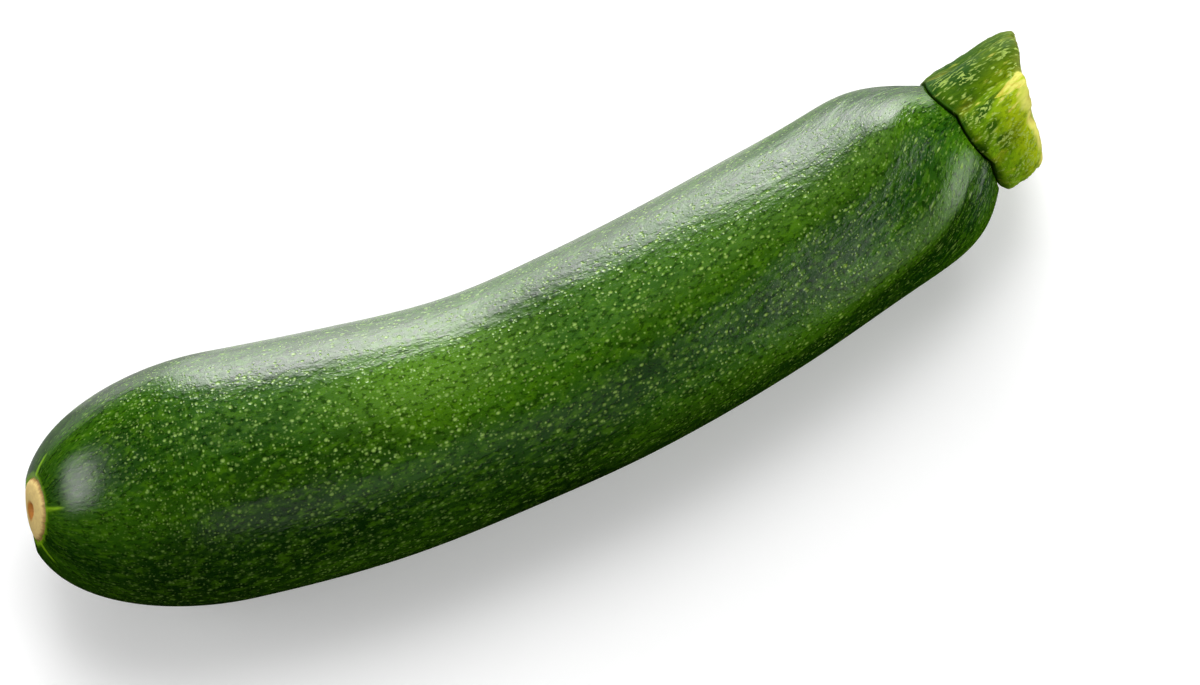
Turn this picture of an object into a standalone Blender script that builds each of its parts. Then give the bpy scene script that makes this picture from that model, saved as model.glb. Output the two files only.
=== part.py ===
"""A zucchini as picked, lying on its side: one bent green fruit and the cut stub of its stem.

The fruit is made of rings round a bent centre line. Along that line, 0 is the flower end and
FRUIT_LENGTH is the seat of the stem. Round it, angle 0 points to the hollow side of the bend,
and 90 degrees points up. Lengths are in metres and angles in degrees.
"""
import bmesh
import bpy
import numpy as np

# The centre line, as (distance along it, value): which way it heads, how thick the fruit is and
# how far each end is lifted off the surface.
FRUIT_LENGTH = 0.1961
HEADING = ((0.0, -16.0), (0.048, -13.5), (0.092, -4.0), (0.140, 4.5), (0.180, 7.0), (0.215, 1.0))
BODY_RADIUS = ((0.0, 0.0236), (0.038, 0.0237), (0.062, 0.0231), (0.090, 0.0216),
               (0.114, 0.0215), (0.146, 0.0208), (0.172, 0.0196), (0.200, 0.0192))
END_LIFT = ((0.0, 0.0036), (0.022, 0.0011), (0.045, 0.0), (0.155, 0.0), (0.180, 0.0009),
            (0.198, 0.0026), (0.220, 0.0054))
SPINE_START, SPINE_END, SPINE_STEPS = -0.010, 0.240, 500

# The rounded ends of the fruit, and how the scar and the seat lean: (to the side, upward).
DOME_LENGTH, DOME_POWER = 0.038, 2.45
SHOULDER_LENGTH, SHOULDER_POWER, SHOULDER_RATIO = 0.026, 3.4, 0.655
END_REACH = 0.040
SCAR_LEAN = (-0.03, 0.24)
SEAT_LEAN = (-0.07, -0.10)

# The corky scar of the flower: (distance along the centre line, radius).
SCAR_OUTLINE = ((0.0009, 0.0), (0.0008, 0.0008), (0.00025, 0.0014), (0.00005, 0.0022),
                (0.00015, 0.0041), (0.0004, 0.0052), (0.0008, 0.0057), (0.0012, 0.0060))
DOME_START_RADIUS = 0.0065

# The seat under the stem: (distance past FRUIT_LENGTH, radius).
SEAT_RADIUS = 0.0121
SEAT_RISE = 0.0002
SEAT_OUTLINE = ((SEAT_RISE, SEAT_RADIUS), (SEAT_RISE, SEAT_RADIUS / 2), (SEAT_RISE, 0.0))

# Five soft ridges, which run into the lobes of the stem. Their twist is (distance from the seat,
# degrees), and their depth is (distance along the centre line, share of the radius).
RIDGES = 5
RIDGE_ANGLE = 120.0
RIDGE_CROWDING = 0.28
RIDGE_TWIST = ((0.0, 0.0), (0.008, 12.0), (0.020, 28.0), (0.050, 37.0), (0.200, 67.0))
RIDGE_DEPTH = ((0.0, 0.004), (0.030, 0.008), (0.110, 0.009), (0.165, 0.022), (0.200, 0.045))
OVAL_DEPTH, OVAL_ANGLE = 0.008, 35.0

# The stem: (distance past the gap, radius), from its foot to the cut and over the cut's face.
STEM_GAP = 0.0003
STEM_LENGTH = 0.0149
STEM_FOOT = ((0.0, 0.0), (0.0, SEAT_RADIUS / 2), (0.0, SEAT_RADIUS))
STEM_SIDE = ((0.0003, 0.0129), (0.0012, 0.0136), (0.0030, 0.0139),
             (0.0055, 0.0140), (0.0085, 0.0140), (0.0112, 0.0139), (0.0134, 0.0135),
             (0.0145, 0.0128))
STEM_CUT = ((0.0149, 0.0118), (0.0144, 0.0085), (0.0141, 0.0045), (0.0142, 0.0))
CUT_LEAN = (0.335, -0.03)

# How much fuller the stem is towards SWELL_ANGLE, as (distance past the gap, share of the radius).
STEM_SWELL = ((0.0, 0.0), (0.0012, 0.06), (0.0040, 0.085), (0.0110, 0.085), (0.0149, 0.035))
SWELL_ANGLE = 200.0

# Its five lobes: how deep the grooves are, and how they turn and draw together towards the cut.
LOBE_DEPTH = ((0.0, 0.0), (0.0012, 0.09), (0.0035, 0.13), (0.0100, 0.13), (0.0149, 0.09))
LOBE_TWIST = 6.0
LOBE_PINCH, PINCH_ANGLE = 20.0, 75.0

# How far the rim is worn back where a groove runs out, and where that starts.
GROOVE_WEAR = 0.0009
RIM_START, RIM_FROM = 0.80, 0.75

# How the crease under the stem swings to and fro.
SCALLOP = 0.0011

# Where it rests: the underside is pressed flat by PRESS, with an edge softened over PRESS_SOFT.
PRESS = 0.0008
PRESS_SOFT = 0.0003

# How finely the rings are cut.
SIDES = 60
DOME_RINGS, BODY_RINGS, SHOULDER_RINGS = 13, 20, 11

SKIN_GREEN = (0.045, 0.125, 0.012, 1.0)
STEM_GREEN = (0.120, 0.230, 0.018, 1.0)


def clear_scene():
    for item in list(bpy.data.objects):
        bpy.data.objects.remove(item, do_unlink=True)


def curve_through(stations, at):
    """Value at each distance in at, on a smooth curve through (distance, value) stations."""
    along = np.array([station[0] for station in stations])
    value = np.array([station[1] for station in stations])
    gap = np.diff(along)
    rise = np.diff(value) / gap
    slope = np.concatenate((rise[:1], (rise[:-1] + rise[1:]) / 2, rise[-1:]))
    place = np.clip(np.searchsorted(along, at) - 1, 0, len(gap) - 1)
    step = gap[place]
    part = np.clip((at - along[place]) / step, 0.0, 1.0)
    square, cube = part ** 2, part ** 3
    return ((2 * cube - 3 * square + 1) * value[place] + (cube - 2 * square + part) * step * slope[place]
            + (3 * square - 2 * cube) * value[place + 1] + (cube - square) * step * slope[place + 1])


def ease(amount):
    """0 to 1 with a soft start and a soft stop."""
    amount = np.clip(amount, 0.0, 1.0)
    return amount * amount * (3.0 - 2.0 * amount)


class Spine:
    """The bent centre line, with a direction to the side and one upward at each point of it."""

    def __init__(self):
        self.along = np.linspace(SPINE_START, SPINE_END, SPINE_STEPS + 1)
        self.heading = np.radians(curve_through(HEADING, self.along))
        self.x = self.added_up(np.cos(self.heading))
        self.y = self.added_up(np.sin(self.heading))
        self.z = curve_through(BODY_RADIUS, self.along) - PRESS + curve_through(END_LIFT, self.along)
        self.pitch = np.arctan(np.gradient(curve_through(END_LIFT, self.along), self.along))

    def added_up(self, rate):
        step = self.along[1] - self.along[0]
        return np.concatenate(([0.0], np.cumsum((rate[1:] + rate[:-1]) / 2 * step)))

    def place(self, along, side, up):
        """Points at a distance along the line and offsets to its side and upward."""
        heading = np.interp(along, self.along, self.heading)
        pitch = np.interp(along, self.along, self.pitch)
        back = np.sin(pitch) * up
        x = np.interp(along, self.along, self.x) - np.sin(heading) * side - np.cos(heading) * back
        y = np.interp(along, self.along, self.y) + np.cos(heading) * side - np.sin(heading) * back
        z = np.interp(along, self.along, self.z) + np.cos(pitch) * up
        return np.stack((x, y, z), axis=-1)


def ridge_turn(angle, along):
    """Angle in radians from the crest of the front ridge. The front ridges are the narrower ones."""
    from_seat = FRUIT_LENGTH - np.minimum(along, FRUIT_LENGTH)
    twist = np.radians(curve_through(RIDGE_TWIST, from_seat))
    turn = angle - np.radians(RIDGE_ANGLE) - twist
    return turn + RIDGE_CROWDING * np.sin(turn)


def lobes(turn):
    """1 on the crest of each lobe of the stem, 0 in the sharp groove between two."""
    return np.abs(np.cos(RIDGES * turn / 2.0))


def fruit_radius(along):
    radius = curve_through(BODY_RADIUS, along)
    from_tip = np.clip(along / DOME_LENGTH, 0.0, 1.0)
    dome = (1.0 - (1.0 - from_tip) ** 2) ** (1.0 / DOME_POWER)
    to_seat = np.clip((along - FRUIT_LENGTH + SHOULDER_LENGTH) / SHOULDER_LENGTH, 0.0, 1.0)
    shoulder = 1.0 - (1.0 - SHOULDER_RATIO) * to_seat ** SHOULDER_POWER
    return radius * dome * shoulder


def lean_shift(lean, side, up):
    return lean[0] * side + lean[1] * up


def scallop_shift(turn, radius):
    """How far the crease under the stem dips to the flower end below each lobe."""
    return -SCALLOP * lobes(turn) * (np.minimum(radius, SEAT_RADIUS) / SEAT_RADIUS) ** 2


def fruit_outline():
    """Distances along the centre line and radii of the fruit's rings, scar to seat."""
    fine = np.linspace(0.0, DOME_LENGTH, 2000)
    start = np.interp(DOME_START_RADIUS, fruit_radius(fine), fine)
    swing = np.linspace(np.arccos(1.0 - start / DOME_LENGTH), np.pi / 2, DOME_RINGS)
    dome = DOME_LENGTH * (1.0 - np.cos(swing))
    shoulder_start = FRUIT_LENGTH - SHOULDER_LENGTH
    body = np.linspace(DOME_LENGTH, shoulder_start, BODY_RINGS)[1:]
    shoulder = shoulder_start + SHOULDER_LENGTH * np.sin(np.linspace(0.0, np.pi / 2, SHOULDER_RINGS))[1:]
    skin = np.concatenate((dome, body, shoulder))
    scar = np.array(SCAR_OUTLINE)
    seat = np.array(SEAT_OUTLINE)
    along = np.concatenate((scar[:, 0], skin, FRUIT_LENGTH + seat[:, 0]))
    radius = np.concatenate((scar[:, 1], fruit_radius(skin), seat[:, 1]))
    return along, radius


def fruit_rings(spine, angles):
    along, radius = fruit_outline()
    along, radius = along[:, None], radius[:, None]
    turn = ridge_turn(angles[None, :], along)
    outside_scar = ease(radius / DOME_START_RADIUS - 1.0)
    ridges = curve_through(RIDGE_DEPTH, along) * np.cos(RIDGES * turn)
    oval = OVAL_DEPTH * np.cos(2.0 * angles - np.radians(OVAL_ANGLE))
    swollen = radius * (1.0 + outside_scar * (ridges + oval))
    side, up = swollen * np.cos(angles), swollen * np.sin(angles)
    near_tip = ease(1.0 - along / END_REACH)
    near_seat = ease(1.0 - (FRUIT_LENGTH - along) / END_REACH)
    at_seat = ease(1.0 - (FRUIT_LENGTH - along) / SHOULDER_LENGTH) ** 2
    shift = near_tip * lean_shift(SCAR_LEAN, side, up) + near_seat * lean_shift(SEAT_LEAN, side, up)
    shift = shift + at_seat * scallop_shift(turn, radius)
    return rest_on_floor(spine.place(along + shift, side, up))


def swell_share(angle):
    """1 where the stem is fullest, 0 on the other side."""
    return (1.0 + np.cos(angle - np.radians(SWELL_ANGLE))) / 2.0


def rim_wear(grown, radius, ribs):
    """How far the rim of the cut is worn back where a groove runs out."""
    near_cut = ease((grown - RIM_START) / (1.0 - RIM_START))
    near_rim = ease((radius / SEAT_RADIUS - RIM_FROM) / (1.0 - RIM_FROM))
    return near_cut * near_rim * GROOVE_WEAR * (1.0 - ribs) ** 2


def stem_rings(spine, angles):
    outline = np.array(STEM_FOOT + STEM_SIDE + STEM_CUT)
    past, radius = outline[:, 0][:, None], outline[:, 1][:, None]
    grown = np.clip(past / STEM_LENGTH, 0.0, 1.0)
    turn = ridge_turn(angles[None, :], FRUIT_LENGTH)
    pinch = LOBE_PINCH * np.sin(angles - np.radians(PINCH_ANGLE))
    ribs = lobes(turn + np.radians(LOBE_TWIST + pinch) * grown)
    ribbed = radius * (1.0 - curve_through(LOBE_DEPTH, past) * (1.0 - ribs))
    ribbed = ribbed * (1.0 + curve_through(STEM_SWELL, past) * swell_share(angles))
    side, up = ribbed * np.cos(angles), ribbed * np.sin(angles)
    lean = (SEAT_LEAN[0] + (CUT_LEAN[0] - SEAT_LEAN[0]) * grown,
            SEAT_LEAN[1] + (CUT_LEAN[1] - SEAT_LEAN[1]) * grown)
    shift = lean_shift(lean, side, up) + (1.0 - grown) * scallop_shift(turn, radius)
    shift = shift - rim_wear(grown, radius, ribs)
    base = FRUIT_LENGTH + SEAT_RISE + STEM_GAP
    return spine.place(base + past + shift, side, up)


def rest_on_floor(points):
    """Bends what would sink below the floor onto it, with a softened edge."""
    height = points[..., 2]
    soft = (height + PRESS_SOFT) ** 2 / (4.0 * PRESS_SOFT)
    flat = np.where(height < PRESS_SOFT, soft, height)
    points[..., 2] = np.where(height <= -PRESS_SOFT, 0.0, flat)
    return points


def centred(rings_by_name):
    """Moves all the rings so that the middle of their box is over the origin."""
    every = np.concatenate([rings.reshape(-1, 3) for rings in rings_by_name.values()])
    middle = (every.min(axis=0) + every.max(axis=0)) / 2.0
    middle[2] = 0.0
    return {name: rings - middle for name, rings in rings_by_name.items()}


def closed_mesh(name, rings):
    """A closed mesh from rings, where the first and the last ring are each one point."""
    build = bmesh.new()
    first = build.verts.new(rings[0].mean(axis=0))
    loops = [[build.verts.new(point) for point in ring] for ring in rings[1:-1]]
    last = build.verts.new(rings[-1].mean(axis=0))
    count = len(loops[0])
    for spot in range(count):
        after = (spot + 1) % count
        build.faces.new((first, loops[0][after], loops[0][spot]))
        build.faces.new((last, loops[-1][spot], loops[-1][after]))
        for near, far in zip(loops, loops[1:]):
            build.faces.new((near[spot], near[after], far[after], far[spot]))
    bmesh.ops.recalc_face_normals(build, faces=build.faces)
    mesh = bpy.data.meshes.new(name)
    build.to_mesh(mesh)
    build.free()
    mesh.shade_smooth()
    return mesh


def material(name, colour, roughness):
    made = bpy.data.materials.new(name)
    made.use_nodes = True
    surface = made.node_tree.nodes["Principled BSDF"]
    surface.inputs["Base Color"].default_value = colour
    surface.inputs["Roughness"].default_value = roughness
    surface.inputs["Metallic"].default_value = 0.0
    return made


def add_piece(name, rings, look):
    piece = bpy.data.objects.new(name, closed_mesh(name, rings))
    piece.data.materials.append(look)
    bpy.context.scene.collection.objects.link(piece)
    return piece


def main():
    clear_scene()
    spine = Spine()
    angles = np.radians(np.arange(SIDES) * 360.0 / SIDES)
    rings = centred({"fruit": fruit_rings(spine, angles), "stem": stem_rings(spine, angles)})
    looks = {"fruit": material("zucchini_skin", SKIN_GREEN, 0.35),
             "stem": material("stem_rind", STEM_GREEN, 0.5)}
    for name, piece_rings in rings.items():
        add_piece(name, piece_rings, looks[name])


main()
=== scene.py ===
"""Looks of the zucchini: waxy flecked skin, the corky flower scar and the ribbed stem stub.

The shapes repeat part.py's, finer and with small irregularities. Both pieces are rings round a
bent centre line. Along that line, 0 is the flower end and FRUIT_LENGTH is the seat of the stem.
Round it, angle 0 points to the hollow side of the bend, and 90 degrees points up. Lengths are in
metres and angles in degrees.
"""
import math

import bpy
import numpy as np
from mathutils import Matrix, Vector


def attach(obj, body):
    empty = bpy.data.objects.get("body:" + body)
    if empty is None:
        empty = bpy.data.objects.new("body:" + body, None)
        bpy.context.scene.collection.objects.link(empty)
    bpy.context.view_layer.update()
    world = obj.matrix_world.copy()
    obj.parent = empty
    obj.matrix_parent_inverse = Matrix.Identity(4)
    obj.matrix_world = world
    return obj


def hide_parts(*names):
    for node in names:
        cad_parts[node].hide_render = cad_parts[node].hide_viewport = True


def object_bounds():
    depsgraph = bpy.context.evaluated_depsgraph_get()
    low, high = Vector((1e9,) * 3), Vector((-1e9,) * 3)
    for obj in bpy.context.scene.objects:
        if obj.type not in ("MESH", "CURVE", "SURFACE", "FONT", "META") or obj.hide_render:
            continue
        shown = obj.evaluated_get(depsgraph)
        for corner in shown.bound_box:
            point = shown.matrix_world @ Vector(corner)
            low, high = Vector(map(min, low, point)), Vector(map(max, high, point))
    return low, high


# The centre line, as (distance along it, value), as in part.py.
FRUIT_LENGTH = 0.1961
HEADING = ((0.0, -16.0), (0.048, -13.5), (0.092, -4.0), (0.140, 4.5), (0.180, 7.0), (0.215, 1.0))
BODY_RADIUS = ((0.0, 0.0236), (0.038, 0.0237), (0.062, 0.0231), (0.090, 0.0216),
               (0.114, 0.0215), (0.146, 0.0208), (0.172, 0.0196), (0.200, 0.0192))
END_LIFT = ((0.0, 0.0036), (0.022, 0.0011), (0.045, 0.0), (0.155, 0.0), (0.180, 0.0009),
            (0.198, 0.0026), (0.220, 0.0054))
SPINE_START, SPINE_END, SPINE_STEPS = -0.010, 0.240, 500

# The rounded ends of the fruit, and how the scar and the seat lean: (to the side, upward).
DOME_LENGTH, DOME_POWER = 0.038, 2.45
SHOULDER_LENGTH, SHOULDER_POWER, SHOULDER_RATIO = 0.026, 3.4, 0.655
END_REACH = 0.040
SCAR_LEAN = (-0.03, 0.24)
SEAT_LEAN = (-0.07, -0.10)

# The corky scar of the flower: (distance along the centre line, radius).
SCAR_OUTLINE = ((0.0009, 0.0), (0.0008, 0.0008), (0.00025, 0.0014), (0.00005, 0.0022),
                (0.00015, 0.0041), (0.0004, 0.0052), (0.0008, 0.0057), (0.0012, 0.0060))
DOME_START_RADIUS = 0.0065

# The seat under the stem.
SEAT_RADIUS = 0.0121
SEAT_RISE = 0.0002

# Five soft ridges, which run into the lobes of the stem. Their twist is (distance from the seat,
# degrees), and their depth is (distance along the centre line, share of the radius).
RIDGES = 5
RIDGE_ANGLE = 120.0
RIDGE_CROWDING = 0.28
RIDGE_TWIST = ((0.0, 0.0), (0.008, 12.0), (0.020, 28.0), (0.050, 37.0), (0.200, 67.0))
RIDGE_DEPTH = ((0.0, 0.004), (0.030, 0.008), (0.110, 0.009), (0.165, 0.022), (0.200, 0.045))
OVAL_DEPTH, OVAL_ANGLE = 0.008, 35.0

# The stem: (distance past the gap, radius), from its foot to the cut and over the cut's face.
STEM_GAP = 0.0003
STEM_LENGTH = 0.0149
STEM_FOOT = ((0.0, 0.0), (0.0, SEAT_RADIUS))
STEM_SIDE = ((0.0, SEAT_RADIUS), (0.0003, 0.0129), (0.0012, 0.0136), (0.0030, 0.0139),
             (0.0055, 0.0140), (0.0085, 0.0140), (0.0112, 0.0139), (0.0134, 0.0135),
             (0.0145, 0.0128), (0.0149, 0.0118))
STEM_CUT = ((0.0149, 0.0118), (0.0144, 0.0085), (0.0141, 0.0045), (0.0142, 0.0))
STEM_SWELL = ((0.0, 0.0), (0.0012, 0.06), (0.0040, 0.085), (0.0110, 0.085), (0.0149, 0.035))
SWELL_ANGLE = 200.0
CUT_LEAN = (0.335, -0.03)
LOBE_DEPTH = ((0.0, 0.0), (0.0012, 0.09), (0.0035, 0.13), (0.0100, 0.13), (0.0149, 0.09))
LOBE_TWIST = 6.0
LOBE_PINCH, PINCH_ANGLE = 20.0, 75.0
SCALLOP = 0.0011

# Where it rests.
PRESS = 0.0008
PRESS_SOFT = 0.0003

# How finely the rings are cut.
FRUIT_SIDES, STEM_SIDES = 256, 384
SCAR_RINGS, DOME_RINGS, BODY_RINGS, SHOULDER_RINGS, SEAT_RINGS = 30, 90, 110, 60, 4
FOOT_RINGS, SIDE_RINGS, CUT_RINGS = 3, 90, 30

# Small irregularities of the grown surface. The insets keep them inside the plain solids. On the
# stem they start over STEM_FOOT_EDGE from its foot.
SEED = 11
WAVE_COUNT = 14
MOST_WAVES_AROUND = 9
WAVES_ALONG = (10.0, 120.0)
WAVE_DEPTH = 0.00009
INSET = 0.00012
STEM_WAVE_DEPTH, STEM_WAVE_STRETCH, STEM_INSET = 0.00027, 8.0, 0.0004
STEM_FOOT_EDGE = 0.0006

# The radius that the skin's pattern is laid out on.
TEXTURE_RADIUS = 0.0215

# Keeps a division from failing where a width is nought.
TINY = 1e-6

# The clear edge of the map for baking, as a share of its width.
BAKE_EDGE = 0.004

# Five pale rays round the scar. As shares of their reach, they start at RAY_START from its rim and
# fade out over the last 1 / RAY_FADE.
RAYS = 5
RAY_ANGLE = 114.0
RAY_WIDTH = 0.00085
RAY_REACH = 0.0062
RAY_START, RAY_FADE = -0.1, 3.0

# Broad patches of the skin, partly its own uneven tone and partly painted light and shade, with the
# darker ones on the near side: (distance along, angle, length, width in degrees, lighter or
# darker).
TONES_AND_PAINTED_LIGHT = ((0.142, 78.0, 0.034, 17.0, 0.42), (0.077, 86.0, 0.023, 33.0, 0.72),
         (0.128, 110.0, 0.032, 18.0, -0.28), (0.040, 160.0, 0.036, 40.0, -0.50),
         (0.095, 175.0, 0.034, 36.0, -0.50), (0.130, 215.0, 0.034, 30.0, -0.30),
         (0.165, 265.0, 0.030, 40.0, 0.35), (0.060, 330.0, 0.030, 40.0, 0.30))

# The flesh that shows where the rind is worn off the stem: its angle and width at the rim, and the
# share of the stem's length where it starts.
FLESH_TURN, FLESH_WIDTH, FLESH_START = -21.0, 19.0, 0.50
FLESH_EDGE = 1.6

# Raised flecks on the stem: how many, in how many rows, and the length, width and height of each.
# Then how far they stray from their rows, their slant, the range of their sizes, and the part of
# the stem's length that has them.
FLECK_ROWS, FLECK_COUNT = 60, 760
FLECK_LENGTH, FLECK_WIDTH, FLECK_HEIGHT = 0.00050, 0.00017, 0.00014
FLECK_STRAY, FLECK_SLANT = 0.16, 0.3
FLECK_SIZES = (0.4, 1.4)
FLECK_START, FLECK_END = 0.0006, STEM_LENGTH - 0.0012

# The worn rim of the cut.
RAG_COUNT, RAG_DEPTH = 12, 0.00022
RAG_WAVES = (5, 40)
GROOVE_WEAR = 0.0009
RIM_START, RIM_FROM = 0.80, 0.75

# The camera: where it looks, from how far, and from which side.
LOOK_AT = (0.0060, -0.0048, 0.020)
CAMERA_AZIMUTH, CAMERA_ELEVATION, CAMERA_DISTANCE = -28.0, 68.0, 1.0
CAMERA_LENS, CAMERA_SENSOR = 157.0, 36.0

# The panels of light: name, azimuth, elevation, width, height, brightness, and whether the skin
# mirrors it. Each is made of three, nested for soft edges: (share of the size, share of the light).
# The three differ in distance, because lights in one plane hide one another in a mirror.
SOFTBOXES = (("far_softbox", 157.0, 8.0, 1.20, 1.10, 7.6, True),
             ("upper_softbox", 152.0, 21.0, 0.75, 0.80, 5.6, True),
             ("left_softbox", -119.0, 23.0, 1.20, 0.62, 5.6, True),
             ("near_softbox", 42.0, 10.0, 1.2, 1.9, 1.3, True),
             ("right_softbox", 66.0, 13.0, 1.5, 1.9, 2.7, True),
             ("veil_softbox", -8.0, 24.0, 1.4, 1.0, 0.45, True),
             ("fill_softbox", 150.0, 60.0, 1.6, 1.6, 4.4, False))
LIGHT_DISTANCE = 2.0
LIGHT_STEP = 0.01
SOFT_STEPS = ((1.15, 0.30), (0.90, 0.35), (0.65, 0.35))
WORLD_BRIGHTNESS = 0.22

# The glow of the floor on the far side: strips as (near edge, far edge, brightness), each laid in
# spans as (start, end, share), which overlap. They lie GLOW_HEIGHT apart for the same reason.
GLOW_STRIPS = ((0.030, 0.080, 1.1), (0.080, 0.350, 2.8))
GLOW_SPANS = ((-0.130, 0.800, 0.25), (-0.090, 0.800, 0.25), (-0.055, 0.060, 0.45),
              (0.060, 0.130, 0.10), (0.130, 0.800, 0.50))
GLOW_HEIGHT = 0.0004

# The pale floor. Its own faint light softens the shadow.
FLOOR_SIZE = 12.0
FLOOR_ROUGHNESS = 0.9
FLOOR_WHITE = (0.88, 0.88, 0.88, 1.0)
SHADOW_LIFT = 0.25


def curve_through(stations, at):
    """Value at each distance in at, on a smooth curve through (distance, value) stations."""
    along = np.array([station[0] for station in stations])
    value = np.array([station[1] for station in stations])
    gap = np.diff(along)
    rise = np.diff(value) / gap
    slope = np.concatenate((rise[:1], (rise[:-1] + rise[1:]) / 2, rise[-1:]))
    place = np.clip(np.searchsorted(along, at) - 1, 0, len(gap) - 1)
    step = gap[place]
    part = np.clip((at - along[place]) / step, 0.0, 1.0)
    square, cube = part ** 2, part ** 3
    return ((2 * cube - 3 * square + 1) * value[place]
            + (cube - 2 * square + part) * step * slope[place]
            + (3 * square - 2 * cube) * value[place + 1]
            + (cube - square) * step * slope[place + 1])


def ease(amount):
    """0 to 1 with a soft start and a soft stop."""
    amount = np.clip(amount, 0.0, 1.0)
    return amount * amount * (3.0 - 2.0 * amount)


def refined(outline, count):
    """An outline of (distance, radius) points, as count points evenly spaced on a smooth curve."""
    points = np.array(outline)
    run = np.concatenate(([0.0], np.cumsum(np.hypot(*np.diff(points, axis=0).T))))
    at = np.linspace(0.0, run[-1], count)
    along = curve_through(tuple(zip(run, points[:, 0])), at)
    radius = curve_through(tuple(zip(run, points[:, 1])), at)
    return along, np.maximum(radius, 0.0)


class Spine:
    """The bent centre line, with a direction to the side and one upward at each point of it."""

    def __init__(self):
        self.along = np.linspace(SPINE_START, SPINE_END, SPINE_STEPS + 1)
        self.heading = np.radians(curve_through(HEADING, self.along))
        self.x = self.added_up(np.cos(self.heading))
        self.y = self.added_up(np.sin(self.heading))
        lift = curve_through(END_LIFT, self.along)
        self.z = curve_through(BODY_RADIUS, self.along) - PRESS + lift
        self.pitch = np.arctan(np.gradient(lift, self.along))

    def added_up(self, rate):
        step = self.along[1] - self.along[0]
        return np.concatenate(([0.0], np.cumsum((rate[1:] + rate[:-1]) / 2 * step)))

    def place(self, along, side, up):
        """Points at a distance along the line and offsets to its side and upward."""
        heading = np.interp(along, self.along, self.heading)
        pitch = np.interp(along, self.along, self.pitch)
        back = np.sin(pitch) * up
        x = np.interp(along, self.along, self.x) - np.sin(heading) * side - np.cos(heading) * back
        y = np.interp(along, self.along, self.y) + np.cos(heading) * side - np.sin(heading) * back
        z = np.interp(along, self.along, self.z) + np.cos(pitch) * up
        return np.stack((x, y, z), axis=-1)


def plain_turn(angle, along):
    """Angle in radians from the crest of the front ridge, which twists along the fruit."""
    from_seat = FRUIT_LENGTH - np.minimum(along, FRUIT_LENGTH)
    twist = np.radians(curve_through(RIDGE_TWIST, from_seat))
    return angle - np.radians(RIDGE_ANGLE) - twist


def ridge_turn(angle, along):
    """The same angle, crowded so that the front ridges are the narrower ones."""
    turn = plain_turn(angle, along)
    return turn + RIDGE_CROWDING * np.sin(turn)


def lobes(turn):
    """1 on the crest of each lobe of the stem, 0 in the sharp groove between two."""
    return np.abs(np.cos(RIDGES * turn / 2.0))


def fruit_radius(along):
    radius = curve_through(BODY_RADIUS, along)
    from_tip = np.clip(along / DOME_LENGTH, 0.0, 1.0)
    dome = (1.0 - (1.0 - from_tip) ** 2) ** (1.0 / DOME_POWER)
    to_seat = np.clip((along - FRUIT_LENGTH + SHOULDER_LENGTH) / SHOULDER_LENGTH, 0.0, 1.0)
    shoulder = 1.0 - (1.0 - SHOULDER_RATIO) * to_seat ** SHOULDER_POWER
    return radius * dome * shoulder


def lean_shift(lean, side, up):
    return lean[0] * side + lean[1] * up


def scallop_shift(turn, radius):
    """How far the crease under the stem dips to the flower end below each lobe."""
    return -SCALLOP * lobes(turn) * (np.minimum(radius, SEAT_RADIUS) / SEAT_RADIUS) ** 2


def rest_on_floor(points):
    """Bends what would sink below the floor onto it, with a softened edge."""
    height = points[..., 2]
    soft = (height + PRESS_SOFT) ** 2 / (4.0 * PRESS_SOFT)
    flat = np.where(height < PRESS_SOFT, soft, height)
    points[..., 2] = np.where(height <= -PRESS_SOFT, 0.0, flat)
    return points


def waves(random, angle, along):
    """Gentle uneven swelling from -1 to 1, the same on both sides of the angle's seam."""
    total = 0.0
    for _ in range(WAVE_COUNT):
        around = random.integers(0, MOST_WAVES_AROUND)
        lengthwise = random.uniform(*WAVES_ALONG)
        start = random.uniform(0.0, 2.0 * np.pi)
        total = total + np.cos(around * angle + lengthwise * along + start)
    return np.tanh(total / np.sqrt(WAVE_COUNT))


def fruit_outline():
    """Distances along the centre line and radii of the fruit's rings, scar to seat."""
    fine = np.linspace(0.0, DOME_LENGTH, 2000)
    start = np.interp(DOME_START_RADIUS, fruit_radius(fine), fine)
    swing = np.linspace(np.arccos(1.0 - start / DOME_LENGTH), np.pi / 2, DOME_RINGS)
    dome = DOME_LENGTH * (1.0 - np.cos(swing))
    shoulder_start = FRUIT_LENGTH - SHOULDER_LENGTH
    body = np.linspace(DOME_LENGTH, shoulder_start, BODY_RINGS)[1:]
    rounding = np.linspace(0.0, np.pi / 2, SHOULDER_RINGS)[1:]
    shoulder = shoulder_start + SHOULDER_LENGTH * np.sin(rounding)
    skin = np.concatenate((dome, body, shoulder))
    scar_along, scar_radius = refined(SCAR_OUTLINE, SCAR_RINGS)
    seat_radius = np.linspace(SEAT_RADIUS, 0.0, SEAT_RINGS)
    seat_along = np.full(SEAT_RINGS, FRUIT_LENGTH + SEAT_RISE)
    along = np.concatenate((scar_along, skin, seat_along))
    radius = np.concatenate((scar_radius, fruit_radius(skin), seat_radius))
    return along, radius


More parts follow.
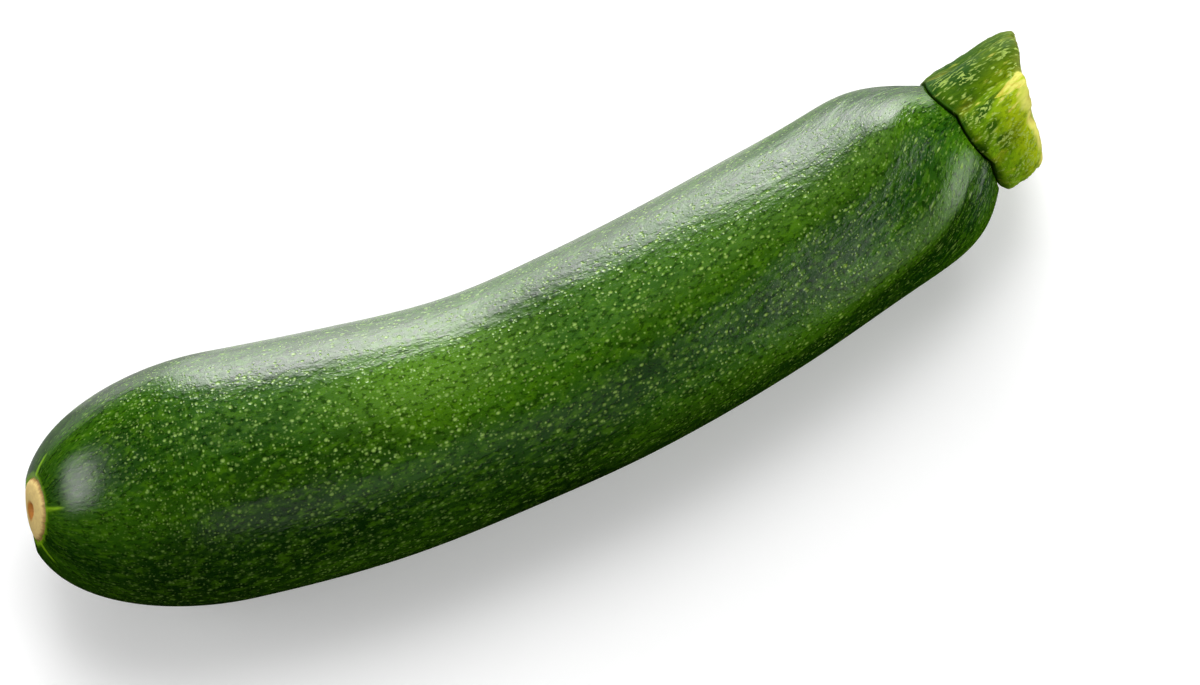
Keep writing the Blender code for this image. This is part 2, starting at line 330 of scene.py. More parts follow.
def fruit_rings(spine, angles):
    """The fruit's points, and what its material reads at each of them."""
    random = np.random.default_rng(SEED)
    along, radius = fruit_outline()
    arc = np.concatenate(([0.0], np.cumsum(np.hypot(np.diff(along), np.diff(radius)))))
    along, radius, arc = along[:, None], radius[:, None], arc[:, None]
    angles = angles[None, :]
    turn = ridge_turn(angles, along)
    outside_scar = ease(radius / DOME_START_RADIUS - 1.0)
    crest = np.cos(RIDGES * turn)
    ridges = curve_through(RIDGE_DEPTH, along) * crest
    oval = OVAL_DEPTH * np.cos(2.0 * angles - np.radians(OVAL_ANGLE))
    swollen = radius * (1.0 + outside_scar * (ridges + oval))
    swollen = swollen + outside_scar * (WAVE_DEPTH * waves(random, angles, along) - INSET)
    side, up = swollen * np.cos(angles), swollen * np.sin(angles)
    near_tip = ease(1.0 - along / END_REACH)
    near_seat = ease(1.0 - (FRUIT_LENGTH - along) / END_REACH)
    at_seat = ease(1.0 - (FRUIT_LENGTH - along) / SHOULDER_LENGTH) ** 2
    shift = near_tip * lean_shift(SCAR_LEAN, side, up) + near_seat * lean_shift(SEAT_LEAN, side, up)
    shift = shift + at_seat * scallop_shift(turn, radius)
    points = rest_on_floor(spine.place(along + shift, side, up))
    straight_turn = plain_turn(angles, along)
    whole = np.ones_like(turn)
    reads = {
        "grown": np.stack((arc * whole, TEXTURE_RADIUS * np.cos(straight_turn),
                           TEXTURE_RADIUS * np.sin(straight_turn)), axis=-1),
        "scar": np.stack((side, up, along * whole), axis=-1),
        "ends": np.stack((arc * whole, (FRUIT_LENGTH - along) * whole, crest), axis=-1),
        "ray": ray_mask(angles, arc, swollen),
        "tone_and_painted_light": tones_and_painted_light(angles, along),
    }
    return points, reads


def tones_and_painted_light(angle, along):
    """Broad lighter (above 0) and darker (below 0) patches of the skin, partly painted light and
    shade.
    """
    total = 0.0
    for at_along, at_angle, length, width, strength in TONES_AND_PAINTED_LIGHT:
        away = np.radians(at_angle) - angle
        away = np.arctan2(np.sin(away), np.cos(away)) / np.radians(width)
        total = total + strength * np.exp(-away ** 2 - ((along - at_along) / length) ** 2)
    return total


def ray_mask(angles, arc, radius):
    """1 along the middle of each pale ray that runs out from the scar, 0 away from it."""
    rim = np.hypot(*np.diff(np.array(SCAR_OUTLINE), axis=0).T).sum()
    out = (arc - rim) / RAY_REACH
    turn = RAYS * (angles - np.radians(RAY_ANGLE))
    across = np.arccos(np.clip(np.cos(turn), -1.0, 1.0)) / RAYS * radius
    width = RAY_WIDTH * np.sqrt(np.clip(1.0 - out, 0.0, 1.0)) + TINY
    return ease(1.0 - across / width) * (out > RAY_START) * ease((1.0 - out) * RAY_FADE)


def stem_outline():
    foot = refined(STEM_FOOT, FOOT_RINGS)
    side = refined(STEM_SIDE, SIDE_RINGS)
    cut = refined(STEM_CUT, CUT_RINGS)
    past = np.concatenate((foot[0][:-1], side[0], cut[0][1:]))
    radius = np.concatenate((foot[1][:-1], side[1], cut[1][1:]))
    on_cut = np.concatenate((np.zeros(FOOT_RINGS - 1 + SIDE_RINGS), np.ones(CUT_RINGS - 1)))
    return past, radius, on_cut


def flecks(random, turn, past):
    """Raised flecks in loose rows on the side of the stem: 1 on top of each, 0 between them."""
    height = np.zeros(np.broadcast(turn, past).shape)
    for _ in range(FLECK_COUNT):
        row = random.integers(0, FLECK_ROWS)
        at_turn = (row + random.normal(0.0, FLECK_STRAY)) * 2.0 * np.pi / FLECK_ROWS
        at_past = random.uniform(FLECK_START, FLECK_END)
        size = random.uniform(*FLECK_SIZES)
        slant = random.uniform(-FLECK_SLANT, FLECK_SLANT)
        around = (np.mod(turn - at_turn + np.pi, 2.0 * np.pi) - np.pi) * SEAT_RADIUS
        lengthwise = past - at_past
        across = (around - slant * lengthwise) / (FLECK_WIDTH * size)
        down = lengthwise / (FLECK_LENGTH * size)
        height = np.maximum(height, np.exp(-across ** 2 - down ** 2))
    return height


def swell_share(angle):
    """1 where the stem is fullest, 0 on the other side."""
    return (1.0 + np.cos(angle - np.radians(SWELL_ANGLE))) / 2.0


def cut_wear(random, angle, ribs):
    """How far the rim of the cut is worn back: ragged, and more so in the grooves."""
    rough = 0.0
    for _ in range(RAG_COUNT):
        around = random.integers(*RAG_WAVES)
        rough = rough + np.cos(around * angle + random.uniform(0.0, 2.0 * np.pi)) / around ** 0.5
    return RAG_DEPTH * np.clip(rough, 0.0, 2.0) + GROOVE_WEAR * (1.0 - ribs) ** 2


def flesh_mask(twisted, grown):
    """1 where the rind is worn off near the cut: a wedge that widens to the rim."""
    away = twisted - np.radians(FLESH_TURN)
    away = np.abs(np.arctan2(np.sin(away), np.cos(away)))
    width = np.radians(FLESH_WIDTH) * np.clip((grown - FLESH_START) / (1.0 - FLESH_START), 0.0, 1.0)
    return ease(FLESH_EDGE * (1.0 - away / (width + TINY)))


def stem_rings(spine, angles):
    """The stem's points, and what its material reads at each of them."""
    random = np.random.default_rng(SEED + 1)
    past, radius, on_cut = stem_outline()
    past, radius, on_cut = past[:, None], radius[:, None], on_cut[:, None]
    angles = angles[None, :]
    grown = np.clip(past / STEM_LENGTH, 0.0, 1.0)
    turn = ridge_turn(angles, FRUIT_LENGTH)
    pinch = LOBE_PINCH * np.sin(angles - np.radians(PINCH_ANGLE))
    twisted = turn + np.radians(LOBE_TWIST + pinch) * grown
    ribs = lobes(twisted)
    ribbed = radius * (1.0 - curve_through(LOBE_DEPTH, past) * (1.0 - ribs))
    ribbed = ribbed * (1.0 + curve_through(STEM_SWELL, past) * swell_share(angles))
    on_side = ease(past / STEM_FOOT_EDGE) * (1.0 - on_cut)
    raised = flecks(random, twisted, past) * on_side
    wavy = waves(random, angles, past * STEM_WAVE_STRETCH)
    ribbed = ribbed + raised * FLECK_HEIGHT + on_side * (STEM_WAVE_DEPTH * wavy - STEM_INSET)
    side, up = ribbed * np.cos(angles), ribbed * np.sin(angles)
    lean = (SEAT_LEAN[0] + (CUT_LEAN[0] - SEAT_LEAN[0]) * grown,
            SEAT_LEAN[1] + (CUT_LEAN[1] - SEAT_LEAN[1]) * grown)
    shift = lean_shift(lean, side, up) + (1.0 - grown) * scallop_shift(turn, radius)
    base = FRUIT_LENGTH + SEAT_RISE + STEM_GAP
    near_cut = ease((grown - RIM_START) / (1.0 - RIM_START))
    near_rim = ease((radius / SEAT_RADIUS - RIM_FROM) / (1.0 - RIM_FROM))
    shift = shift - near_cut * near_rim * cut_wear(random, angles, ribs)
    points = spine.place(base + past + shift, side, up)
    whole = np.ones_like(turn)
    reads = {
        "grown": np.stack((past * whole, SEAT_RADIUS * np.cos(twisted),
                           SEAT_RADIUS * np.sin(twisted)), axis=-1),
        "cut": np.stack((side, up, on_cut * whole), axis=-1),
        "past": past * whole,
        "rib": ribs * whole,
        "fleck": raised,
        "flesh": flesh_mask(twisted, grown),
    }
    return points, reads


def add_bake_map(mesh, points):
    """A map for baking: round the piece in one direction, end to end in the other."""
    sides = points.shape[1]
    step = np.linalg.norm(np.diff(points, axis=0), axis=-1).mean(axis=1)
    run = np.concatenate(([0.0], np.cumsum(step)))
    run = run / run[-1]
    left = np.arange(sides) / sides
    right = left + 1.0 / sides
    middle = (left + right) / 2.0

    def corners(*places):
        spots = [np.stack((across, np.full(sides, up)), axis=-1) for across, up in places]
        return np.stack(spots, axis=1)

    rows = [corners((middle, run[0]), (left, run[1]), (right, run[1]))]
    for low, high in zip(run[1:-2], run[2:-1]):
        rows.append(corners((left, low), (left, high), (right, high), (right, low)))
    rows.append(corners((middle, run[-1]), (right, run[-2]), (left, run[-2])))
    flat = np.concatenate([row.reshape(-1, 2) for row in rows])
    layer = mesh.uv_layers.new(name="OFBake")
    layer.data.foreach_set("uv", (BAKE_EDGE + (1.0 - 2.0 * BAKE_EDGE) * flat).ravel())


def closed_mesh(name, points, reads):
    """A closed mesh from rings, where the first and the last ring are each one point."""
    rings, sides = points.shape[0] - 2, points.shape[1]
    first, final = points[:1].mean(axis=1), points[-1:].mean(axis=1)
    corners = np.concatenate((first, points[1:-1].reshape(-1, 3), final))
    last = rings * sides + 1
    spot = np.arange(sides)
    after = (spot + 1) % sides
    ring = 1 + np.arange(rings - 1)[:, None] * sides
    left, right = ring + spot, ring + after
    quads = np.stack((left, left + sides, right + sides, right), axis=-1)
    outer = last - sides
    faces = [(0, 1 + a, 1 + b) for a, b in zip(spot, after)]
    faces += quads.reshape(-1, 4).tolist()
    faces += [(last, outer + b, outer + a) for a, b in zip(spot, after)]
    mesh = bpy.data.meshes.new(name)
    mesh.from_pydata(corners.tolist(), [], faces)
    mesh.shade_smooth()
    add_bake_map(mesh, points)
    for word, value in reads.items():
        flat = value.reshape(value.shape[0], sides, -1)
        inner = flat[1:-1].reshape(rings * sides, -1)
        every = np.concatenate((flat[:1].mean(axis=1), inner, flat[-1:].mean(axis=1)))
        if every.shape[1] == 3:
            read = mesh.attributes.new(word, "FLOAT_VECTOR", "POINT")
            read.data.foreach_set("vector", every.ravel())
        else:
            read = mesh.attributes.new(word, "FLOAT", "POINT")
            read.data.foreach_set("value", every.ravel())
    return mesh


def linear(red, green, blue):
    """A colour given as 0 to 255 on screen, as the linear colour that shaders use."""
    channels = [value / 255.0 for value in (red, green, blue)]
    bent = [c / 12.92 if c <= 0.04045 else ((c + 0.055) / 1.055) ** 2.4 for c in channels]
    return (*bent, 1.0)


class Shader:
    """A material's nodes, made one at a time and joined as they are made."""

    def __init__(self, name):
        self.material = bpy.data.materials.new(name)
        self.material.use_nodes = True
        self.tree = self.material.node_tree
        self.surface = self.tree.nodes["Principled BSDF"]

    def feed(self, socket, value):
        if isinstance(value, bpy.types.NodeSocket):
            self.tree.links.new(value, socket)
        else:
            socket.default_value = value

    def attribute(self, name, output="Vector"):
        node = self.tree.nodes.new("ShaderNodeAttribute")
        node.attribute_name = name
        return node.outputs[output]

    def split(self, vector):
        node = self.tree.nodes.new("ShaderNodeSeparateXYZ")
        self.feed(node.inputs[0], vector)
        return node.outputs

    def drawn_out(self, vector, factor):
        """The vector, on which a pattern is longer than it is wide by one over the factor."""
        node = self.tree.nodes.new("ShaderNodeVectorMath")
        node.operation = "MULTIPLY"
        self.feed(node.inputs[0], vector)
        node.inputs[1].default_value = (factor, 1.0, 1.0)
        return node.outputs[0]

    def sum(self, operation, first, second=0.0):
        node = self.tree.nodes.new("ShaderNodeMath")
        node.operation = operation
        for socket, value in zip(node.inputs, (first, second)):
            self.feed(socket, value)
        return node.outputs[0]

    def times(self, first, second):
        return self.sum("MULTIPLY", first, second)

    def plus(self, first, second):
        return self.sum("ADD", first, second)

    def most(self, first, second):
        return self.sum("MAXIMUM", first, second)

    def spread(self, value, low, high, to_low=0.0, to_high=1.0):
        """Maps low..high softly to to_low..to_high, held beyond both."""
        node = self.tree.nodes.new("ShaderNodeMapRange")
        node.interpolation_type = "SMOOTHSTEP"
        for word, given in (("Value", value), ("From Min", low), ("From Max", high),
                            ("To Min", to_low), ("To Max", to_high)):
            self.feed(node.inputs[word], given)
        return node.outputs["Result"]

    def blend(self, amount, first, second):
        """A colour from first at amount 0 to second at amount 1."""
        node = self.tree.nodes.new("ShaderNodeMix")
        node.data_type = "RGBA"
        self.feed(node.inputs["Factor"], amount)
        self.feed(node.inputs[6], first)
        self.feed(node.inputs[7], second)
        return node.outputs[2]

    def noise(self, vector, scale, detail=2.0, roughness=0.5):
        node = self.tree.nodes.new("ShaderNodeTexNoise")
        self.feed(node.inputs["Vector"], vector)
        node.inputs["Scale"].default_value = scale
        node.inputs["Detail"].default_value = detail
        node.inputs["Roughness"].default_value = roughness
        return node.outputs["Fac"]

    def jittered(self, vector, scale, distance):
        """The vector, pushed about unevenly by up to about half the distance."""
        node = self.tree.nodes.new("ShaderNodeTexNoise")
        self.feed(node.inputs["Vector"], vector)
        node.inputs["Scale"].default_value = scale
        push = self.tree.nodes.new("ShaderNodeVectorMath")
        push.operation = "MULTIPLY_ADD"
        self.feed(push.inputs[0], node.outputs["Color"])
        push.inputs[1].default_value = (distance, distance, distance)
        self.feed(push.inputs[2], vector)
        return push.outputs[0]

    def dots(self, vector, scale, most, share):
        """Soft dots in a share of the cells, some fainter: 1 in the middle, 0 past the edge."""
        node = self.tree.nodes.new("ShaderNodeTexVoronoi")
        self.feed(node.inputs["Vector"], vector)
        node.inputs["Scale"].default_value = scale
        chance, strength, _ = self.split(node.outputs["Color"])
        size = self.spread(chance, 1.0 - share, 1.0, 0.0, most)
        near = self.sum("SUBTRACT", size, node.outputs["Distance"])
        soft = self.spread(near, 0.0, 0.8 * most)
        return self.times(soft, self.spread(strength, 0.0, 0.8, 0.5, 1.0))

    def bump(self, height, depth, strength=1.0, under=None):
        node = self.tree.nodes.new("ShaderNodeBump")
        node.inputs["Distance"].default_value = depth
        self.feed(node.inputs["Strength"], strength)
        self.feed(node.inputs["Height"], height)
        if under is not None:
            self.feed(node.inputs["Normal"], under)
        return node.outputs["Normal"]

    def finish(self, **sockets):
        for name, value in sockets.items():
            self.feed(self.surface.inputs[name.replace("_", " ")], value)
        return self.material


DARK_GREEN = linear(6, 32, 1)
DEEP_GREEN = linear(20, 56, 2)
MIDDLE_GREEN = linear(44, 90, 3)
# Painted shade for the valleys between the ridges.
VALLEY_PAINTED_SHADE = linear(16, 62, 2)
BRIGHT_GREEN = linear(84, 134, 2)
PALE_FLECK = linear(150, 186, 88)
YELLOW_FLECK = linear(150, 186, 50)
RAY_GREEN = linear(140, 190, 24)
SCAR_TAN = linear(252, 222, 140)
SCAR_BROWN = linear(160, 104, 48)
SCAR_HEART = linear(206, 132, 44)

# Noises of the skin: repeats to a metre, detail, and roughness.
PATCHES, CROWDS, DENTS = (75.0, 3.0), (110.0, 2.0), (170.0, 2.0)
MOTTLE, GRAIN = (760.0, 3.0, 0.6), (1300.0, 3.0, 0.6)

# Dots of the skin: repeats to a metre, size as a share of a repeat, and share of the repeats.
FINE_DOTS, MEDIUM_DOTS, SMALL_DOTS = (1750.0, 0.48, 1.0), (1050.0, 0.48, 1.0), (1290.0, 0.46, 0.9)
LARGE_DOTS, STEM_DASHES = (210.0, 0.13, 0.12), (1050.0, 0.42, 0.6)

# How the dots are pushed about: repeats to a metre, and distance.
DOT_JITTER = (700.0, 0.0005)

# The scar's halo, outer edge, brown edge and heart, each from the radius where it starts to where
# it is full. It ends a little way along the fruit, so that the seat has none.
SCAR_HALO, SCAR_EDGE, SCAR_BORDER = (0.0074, 0.0062), (0.0061, 0.0058), (0.0052, 0.0059)
SCAR_MIDDLE, MIDDLE_DROP = (0.0023, 0.0013), 0.0006
SCAR_END = (0.010, 0.009)
SCAR_RAGS, SCAR_RAGGEDNESS = (380.0, 3.0), 0.0012
CORK = (900.0, 4.0, 0.7)

# Depths of the fine relief: soft dents, mottling, and specks with grain.
DENT_DEPTH, MOTTLE_DEPTH, SPECK_DEPTH = 0.0004, 0.00010, 0.00008


def skin_material():
    """Waxy flecked skin, with the rays and the scar at the flower end."""
    make = Shader("zucchini_skin")
    grown = make.attribute("grown")
    arc, from_seat, crest = make.split(make.attribute("ends"))
    uneven = make.jittered(grown, *DOT_JITTER)
    patches = make.noise(make.drawn_out(grown, 0.35), *PATCHES)
    mottle = make.noise(make.drawn_out(grown, 0.5), *MOTTLE)
    grain = make.noise(make.drawn_out(grown, 0.6), *GRAIN)
    near_stem = make.spread(from_seat, 0.050, 0.004)
    off_tip = make.spread(arc, 0.010, 0.035, 0.25, 1.0)

    # The ground: patches, painted light on the ridges and painted shade in the valleys, broad tones
    # that are partly painted light and shade, and fine grain.
    green = make.blend(make.spread(patches, 0.32, 0.66), DEEP_GREEN, MIDDLE_GREEN)
    # Painted light on the ridge crests and painted shade in the valleys, stronger near the stem.
    ribbing = make.spread(from_seat, 0.120, 0.010, 0.15, 0.75)
    ridge_painted_light = make.times(make.spread(crest, 0.1, 1.0), make.times(ribbing, 0.5))
    green = make.blend(ridge_painted_light, green, BRIGHT_GREEN)
    green = make.blend(make.times(make.spread(crest, -0.3, -1.0), ribbing), green, VALLEY_PAINTED_SHADE)
    # Broad tones, partly the skin's own and partly painted light and shade, darker on the near
    # side.
    tone_and_painted_light = make.attribute("tone_and_painted_light", "Fac")
    green = make.blend(make.spread(tone_and_painted_light, 0.0, 1.0), green, BRIGHT_GREEN)
    green = make.blend(make.spread(tone_and_painted_light, 0.0, -1.0), green, DARK_GREEN)
    green = make.blend(make.spread(mottle, 0.44, 0.70, 0.0, 0.45), green, BRIGHT_GREEN)
    green = make.blend(make.spread(grain, 0.50, 0.36, 0.0, 0.65), green, DARK_GREEN)

    # The flecks: pale dust, dots, a few large ones, and dashes by the stem.
    crowds = make.noise(make.drawn_out(grown, 0.4), *CROWDS)
    crowding = make.spread(crowds, 0.30, 0.62, 0.35, 1.0)
    stretched = make.drawn_out(uneven, 0.72)
    fine = make.times(make.dots(stretched, *FINE_DOTS), crowding)
    medium = make.most(make.dots(stretched, *MEDIUM_DOTS), make.dots(grown, *SMALL_DOTS))
    large = make.dots(make.drawn_out(uneven, 0.75), *LARGE_DOTS)
    dashes = make.times(make.dots(make.drawn_out(uneven, 0.32), *STEM_DASHES), near_stem)
    medium = make.times(medium, make.spread(near_stem, 0.0, 1.0, 1.0, 0.45))
    fine = make.times(fine, make.spread(from_seat, 0.060, 0.140, 0.46, 0.7))
    specks = make.most(fine, make.most(medium, dashes))
    # The flecks fade in the darker tones, along with the painted shade there.
    specks = make.times(specks, make.times(off_tip, make.spread(tone_and_painted_light, -0.45, 0.10, 0.45, 0.88)))
    fleck = make.blend(make.spread(from_seat, 0.130, 0.050, 0.0, 0.3), PALE_FLECK, YELLOW_FLECK)
    colour = make.blend(specks, green, fleck)
    colour = make.blend(make.times(large, off_tip), colour, YELLOW_FLECK)

    # The rays, and the scar with its green halo, brown edge and darker heart.
    ray = make.times(make.attribute("ray", "Fac"), make.spread(mottle, 0.3, 0.5, 0.6, 1.0))
    colour = make.blend(ray, colour, RAY_GREEN)

    side, up, along = make.split(make.attribute("scar"))
    reach = make.sum("SQRT", make.plus(make.times(side, side), make.times(up, up)))
    rags = make.sum("SUBTRACT", make.noise(grown, *SCAR_RAGS), 0.5)
    ragged = make.plus(reach, make.times(rags, SCAR_RAGGEDNESS))
    at_tip = make.spread(along, *SCAR_END)
    on_scar = make.times(make.spread(ragged, *SCAR_EDGE), at_tip)
    halo = make.times(make.spread(ragged, *SCAR_HALO), at_tip)
    colour = make.blend(make.times(halo, 0.8), colour, RAY_GREEN)
    rough_cork = make.noise(make.attribute("scar"), *CORK)
    cork = make.blend(make.spread(rough_cork, 0.35, 0.7, 0.0, 0.20), SCAR_TAN, SCAR_BROWN)
    cork = make.blend(make.spread(ragged, *SCAR_BORDER, 0.0, 0.8), cork, SCAR_BROWN)
    lowered = make.plus(up, MIDDLE_DROP)
    heart = make.sum("SQRT", make.plus(make.times(side, side), make.times(lowered, lowered)))
    cork = make.blend(make.spread(heart, *SCAR_MIDDLE), cork, SCAR_HEART)
    colour = make.blend(on_scar, colour, cork)

    # The gloss, duller on the cork, and the fine relief, weaker by the scar.
    roughness = make.spread(grain, 0.3, 0.7, 0.17, 0.27)
    roughness = make.plus(roughness, make.times(on_scar, 0.4))
    away = make.spread(arc, 0.008, 0.040, 0.15, 1.0)
    relief = make.bump(make.noise(make.drawn_out(grown, 0.35), *DENTS), DENT_DEPTH, away)
    relief = make.bump(mottle, MOTTLE_DEPTH, away, relief)
    relief = make.bump(make.plus(specks, grain), SPECK_DEPTH, away, relief)
    return make.finish(Base_Color=colour, Roughness=roughness, Normal=relief)


STEM_DARK = linear(34, 76, 2)
STEM_GREEN = linear(84, 122, 4)
# Painted light for the stem's near side.
STEM_PAINTED_LIGHT = linear(132, 178, 14)
STEM_LIME = linear(172, 192, 10)
STEM_OCHRE = linear(140, 136, 22)
STEM_FLECK = linear(180, 206, 100)
CUT_CREAM = linear(226, 222, 112)
CUT_FLESH = linear(222, 222, 148)
CUT_GREEN = linear(176, 192, 84)
CUT_HEART = linear(210, 164, 62)
CUT_DRY = linear(158, 128, 56)

# Noises of the stem and its cut: repeats to a metre, detail, and roughness.
STREAKS, STEM_PATCHES, CURLS = (640.0, 3.0, 0.55), (260.0, 3.0), (1300.0, 1.0, 0.5)
FIBRE, STAINS = (1100.0, 4.0, 0.7), (190.0, 4.0, 0.6)

# How the curls are pushed about: repeats to a metre, and distance.
CURL_JITTER = (900.0, 0.0016)

# The cut's bundles: repeats to a metre, size as a share of a repeat, and share of the repeats.
BUNDLES = (330.0, 0.40, 0.9)

# Zones of the cut: radii from where each starts to where it is full.
UNDER_RIND, HEART_OF_CUT = (0.0086, 0.0112), (0.0030, 0.0010)
BUNDLES_INSIDE, BUNDLES_OUTSIDE = (0.0040, 0.0055), (0.0092, 0.0080)

# How far the patterns move the edge of the worn rim and that of the bare flesh.
CUT_RAGGEDNESS, FLESH_STREAKS, FLESH_PATCHES = 0.006, 2.4, 1.6

# Depths of the fine relief, and how much the dry rind shines.
STREAK_DEPTH, CURL_DEPTH = 0.00016, 0.00010
STEM_SPECULAR = 0.06


def stem_material():
    """Dry rind with pale flecks, and moist flesh on the cut and where the rind is worn off."""
    make = Shader("stem_rind")
    grown = make.attribute("grown")
    past, rib = make.attribute("past", "Fac"), make.attribute("rib", "Fac")
    side, up, on_cut = make.split(make.attribute("cut"))
    streaks = make.noise(make.drawn_out(grown, 0.45), *STREAKS)
    patches = make.noise(make.drawn_out(grown, 0.5), *STEM_PATCHES)
    unsure = make.sum("SUBTRACT", patches, 0.5)
    to_cut = make.plus(past, make.times(unsure, CUT_RAGGEDNESS))

    # The rind: darker on the far side as painted shade, brighter on the near side as painted light,
    # lime green below and towards the cut, and dark at its foot as painted shade in the crease.
    below = make.spread(side, 0.006, -0.009)
    rind = make.blend(make.spread(patches, 0.38, 0.66), STEM_DARK, STEM_GREEN)
    painted_light_patches = make.times(below, make.spread(patches, 0.40, 0.60, 0.10, 0.85))
    rind = make.blend(painted_light_patches, rind, STEM_PAINTED_LIGHT)
    # Painted light on the near side and painted shade on the far side.
    rind = make.blend(make.spread(side, -0.008, -0.015, 0.0, 0.9), rind, STEM_PAINTED_LIGHT)
    rind = make.blend(make.spread(side, -0.001, 0.010, 0.0, 0.80), rind, STEM_DARK)
    lower = make.plus(make.times(below, 0.80), 0.10)
    limed = make.times(make.spread(to_cut, 0.0045, 0.0125), lower)
    rind = make.blend(limed, rind, STEM_LIME)
    streaked = make.times(make.spread(streaks, 0.52, 0.72), make.plus(make.times(below, 0.5), 0.15))
    rind = make.blend(streaked, rind, STEM_LIME)
    rind = make.blend(make.spread(streaks, 0.46, 0.34, 0.0, 0.45), rind, STEM_DARK)
    in_groove = make.times(make.spread(rib, 0.40, 0.05), make.spread(past, 0.006, 0.002, 0.0, 0.45))
    rind = make.blend(in_groove, rind, STEM_OCHRE)
    # Painted shade in the crease at the stem's foot.
    rind = make.blend(make.spread(past, 0.0013, 0.0, 0.0, 0.85), rind, STEM_DARK)
    curled = make.jittered(grown, *CURL_JITTER)
    curls = make.noise(make.drawn_out(curled, 0.55), *CURLS)
    rind = make.blend(make.spread(curls, 0.45, 0.36, 0.0, 0.35), rind, STEM_DARK)
    ridged = make.times(make.spread(curls, 0.53, 0.62), make.spread(patches, 0.58, 0.40, 0.15, 0.8))
    flecks = make.most(make.attribute("fleck", "Fac"), ridged)
    # The flecks are fainter on the far side, as painted shade against its strong light.
    far_side_fleck_shade = make.spread(side, 0.004, 0.012, 1.0, 0.30)
    shown = make.times(make.spread(flecks, 0.25, 0.9, 0.0, 0.80), far_side_fleck_shade)
    rind = make.blend(shown, rind, STEM_FLECK)
    rim = make.times(make.spread(to_cut, 0.0125, 0.0144), make.plus(make.times(below, 0.85), 0.05))
    rind = make.blend(rim, rind, CUT_CREAM)
    rind = make.blend(make.spread(to_cut, 0.0142, 0.0154, 0.0, 0.4), rind, CUT_DRY)

    # The cut face: stained fibrous flesh, a ring of bundles and a darker middle.
    reach = make.sum("SQRT", make.plus(make.times(side, side), make.times(up, up)))
    fibre = make.noise(make.attribute("cut"), *FIBRE)
    flesh = make.blend(make.spread(fibre, 0.35, 0.65), CUT_FLESH, CUT_GREEN)
    stained = make.noise(make.attribute("cut"), *STAINS)
    flesh = make.blend(make.spread(stained, 0.48, 0.68, 0.0, 0.45), flesh, CUT_DRY)
    flesh = make.blend(make.spread(reach, *UNDER_RIND), flesh, CUT_GREEN)
    bundles = make.dots(make.attribute("cut"), *BUNDLES)
    ring = make.times(make.spread(reach, *BUNDLES_INSIDE), make.spread(reach, *BUNDLES_OUTSIDE))
    flesh = make.blend(make.times(make.times(bundles, ring), 0.85), flesh, STEM_OCHRE)
    flesh = make.blend(make.spread(reach, *HEART_OF_CUT, 0.0, 0.8), flesh, CUT_HEART)

    # The bare flesh by the rim.
    streaky = make.times(make.sum("SUBTRACT", streaks, 0.5), FLESH_STREAKS)
    worn = make.plus(make.attribute("flesh", "Fac"), streaky)
    worn = make.plus(worn, make.times(unsure, FLESH_PATCHES))
    bare = make.blend(make.spread(streaks, 0.36, 0.62), STEM_LIME, CUT_CREAM)
    bare = make.blend(make.spread(curls, 0.52, 0.42, 0.0, 0.35), bare, CUT_HEART)
    rind = make.blend(make.times(make.spread(worn, 0.35, 0.75), 0.85), rind, bare)
    colour = make.blend(on_cut, rind, flesh)

    roughness = make.spread(streaks, 0.3, 0.7, 0.45, 0.60)
    relief = make.bump(streaks, STREAK_DEPTH)
    relief = make.bump(make.plus(flecks, fibre), CURL_DEPTH, 1.0, relief)
    return make.finish(Base_Color=colour, Roughness=roughness, Normal=relief,
                       Specular_IOR_Level=STEM_SPECULAR)


def add_piece(name, node, points, reads, material):
    piece = bpy.data.objects.new(name, closed_mesh(name, points, reads))
    piece.data.materials.append(material)
    bpy.context.scene.collection.objects.link(piece)
    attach(piece, "root")
    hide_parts(node)


def circle(sides):
    """Evenly spaced angles in radians, once round."""
    return np.radians(np.arange(sides) * 360.0 / sides)


def add_zucchini():
    """Both pieces, with the middle of their box over that of the solids."""
    spine = Spine()
    fruit, fruit_reads = fruit_rings(spine, circle(FRUIT_SIDES))
    stem, stem_reads = stem_rings(spine, circle(STEM_SIDES))
    every = np.concatenate((fruit.reshape(-1, 3), stem.reshape(-1, 3)))
    middle = (np.array(cad_box[0]) + np.array(cad_box[1])) / 2.0
    shift = middle - (every.min(axis=0) + every.max(axis=0)) / 2.0
    shift[2] = 0.0
    add_piece("zucchini_fruit", "fruit",
              fruit + shift, fruit_reads, skin_material())
    add_piece("zucchini_stem", "stem",
              stem + shift, stem_reads, stem_material())


def direction(azimuth, elevation):
    """From the object towards a place: azimuth 0 is the -Y side and 90 the +X side."""
    turn, lift = math.radians(azimuth), math.radians(elevation)
    level = math.cos(lift)
    return Vector((math.sin(turn) * level, -math.cos(turn) * level, math.sin(lift)))


def add_camera():
    data = bpy.data.cameras.new("photo_camera")
    data.lens, data.sensor_width = CAMERA_LENS, CAMERA_SENSOR
    camera = bpy.data.objects.new("photo_camera", data)
    back = direction(CAMERA_AZIMUTH, CAMERA_ELEVATION)
    camera.location = Vector(LOOK_AT) + back * CAMERA_DISTANCE
    camera.rotation_euler = (-back).to_track_quat("-Z", "Y").to_euler()
    bpy.context.scene.collection.objects.link(camera)
    bpy.context.scene.camera = camera


def add_softbox(name, azimuth, elevation, width, height, brightness, mirrored):
    """A panel that faces the fruit. Its brightness is what a mirror shows of its middle."""
    away = direction(azimuth, elevation)
    for part, share in SOFT_STEPS:
        data = bpy.data.lights.new(name, "AREA")
        data.shape = "RECTANGLE"
        data.size, data.size_y = width * part, height * part
        data.energy = brightness * share * math.pi * data.size * data.size_y
        light = bpy.data.objects.new(name, data)
        light.location = Vector(LOOK_AT) + away * (LIGHT_DISTANCE + LIGHT_STEP * part)
        light.rotation_euler = away.to_track_quat("Z", "Y").to_euler()
        light.visible_camera = False
        light.visible_glossy = mirrored
        bpy.context.scene.collection.objects.link(light)


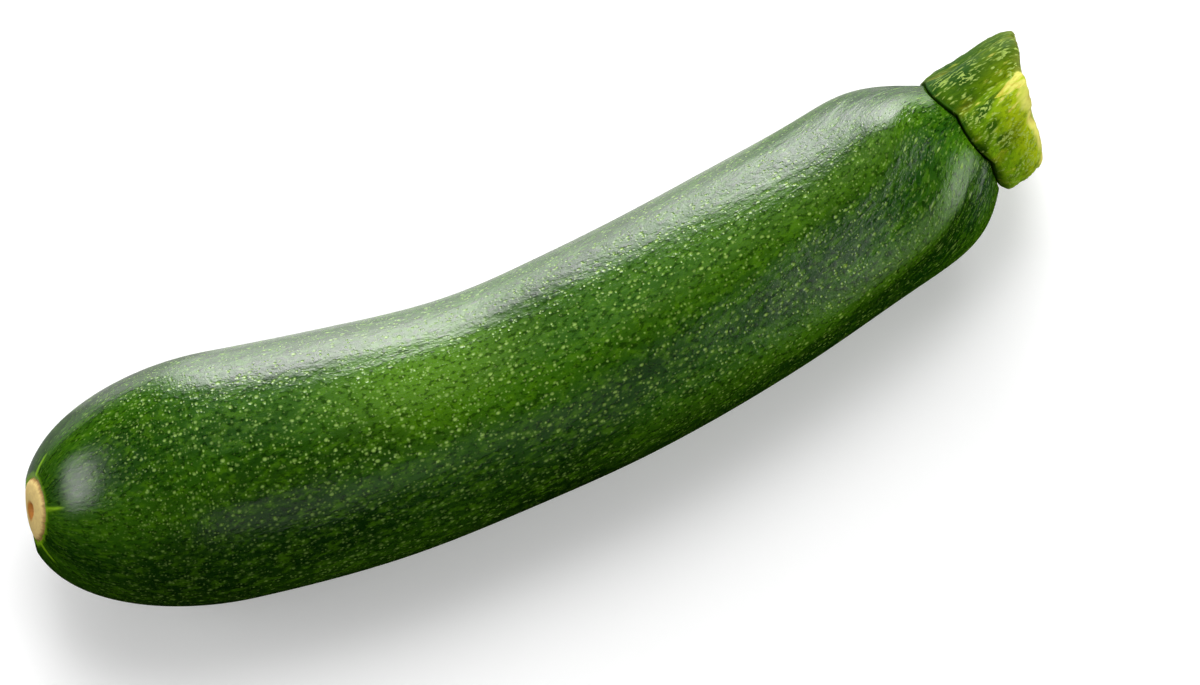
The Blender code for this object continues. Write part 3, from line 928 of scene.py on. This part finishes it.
def add_floor_glow():
    """The pale floor as the far side of the skin mirrors it: brighter away from its shadow."""
    patches = [(start, end, close, far, share * brightness)
               for start, end, share in GLOW_SPANS for close, far, brightness in GLOW_STRIPS]
    for level, (start, end, close, far, brightness) in enumerate(patches):
        data = bpy.data.lights.new("floor_glow", "AREA")
        data.shape = "RECTANGLE"
        data.size, data.size_y = end - start, far - close
        data.energy = brightness * math.pi * data.size * data.size_y
        light = bpy.data.objects.new("floor_glow", data)
        light.location = ((start + end) / 2.0, (close + far) / 2.0, GLOW_HEIGHT * (1 + level))
        light.rotation_euler = (math.pi, 0.0, 0.0)
        light.visible_camera = False
        light.visible_diffuse = False
        bpy.context.scene.collection.objects.link(light)


def add_lights():
    for softbox in SOFTBOXES:
        add_softbox(*softbox)
    add_floor_glow()
    world = bpy.data.worlds.new("studio")
    world.use_nodes = True
    backdrop = world.node_tree.nodes["Background"]
    backdrop.inputs["Color"].default_value = (1.0, 1.0, 1.0, 1.0)
    backdrop.inputs["Strength"].default_value = WORLD_BRIGHTNESS
    world.cycles_visibility.glossy = False
    bpy.context.scene.world = world
    bpy.context.scene.view_settings.view_transform = "Standard"


def add_floor():
    half = FLOOR_SIZE / 2.0
    mesh = bpy.data.meshes.new("floor")
    corners = [(-half, -half, 0.0), (half, -half, 0.0), (half, half, 0.0), (-half, half, 0.0)]
    mesh.from_pydata(corners, [], [(0, 1, 2, 3)])
    floor = bpy.data.objects.new("floor", mesh)
    make = Shader("pale_floor")
    look = make.finish(Base_Color=FLOOR_WHITE, Roughness=FLOOR_ROUGHNESS,
                       Emission_Color=FLOOR_WHITE, Emission_Strength=SHADOW_LIFT)
    floor.data.materials.append(look)
    floor.visible_glossy = False
    floor.visible_diffuse = False
    bpy.context.scene.collection.objects.link(floor)


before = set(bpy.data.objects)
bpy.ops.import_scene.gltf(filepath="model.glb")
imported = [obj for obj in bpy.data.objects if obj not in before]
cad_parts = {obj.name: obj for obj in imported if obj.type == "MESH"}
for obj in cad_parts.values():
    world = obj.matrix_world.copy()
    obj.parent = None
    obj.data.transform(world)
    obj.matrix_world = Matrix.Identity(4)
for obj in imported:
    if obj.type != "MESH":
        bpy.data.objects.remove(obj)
cad_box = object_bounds()
add_zucchini()
add_floor()
add_lights()
add_camera()
